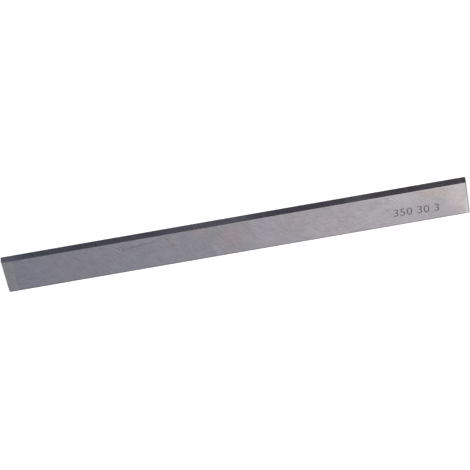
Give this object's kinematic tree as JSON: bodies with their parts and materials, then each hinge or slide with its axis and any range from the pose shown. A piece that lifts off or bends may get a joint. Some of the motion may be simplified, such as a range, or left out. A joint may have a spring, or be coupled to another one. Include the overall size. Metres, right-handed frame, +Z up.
{
  "type": "planer knife",
  "caption": "Straight planer knife: a flat ground steel bar with one long edge bevelled to a cutting edge.",
  "frame": {"origin": "middle of the knife's flat back, which it lies on", "axes": "+X along the knife, +Y across it towards the cutting edge, +Z up through the thickness, out of the face that the bevel runs into"},
  "size_m": [0.35, 0.03, 0.003],
  "materials": {
    "ground_steel": "surface ground, with fine curved grinding marks and faint heat tints"
  },
  "bodies": {
    "root": {"planer_knife": "ground_steel"}
  },
  "joints": []
}
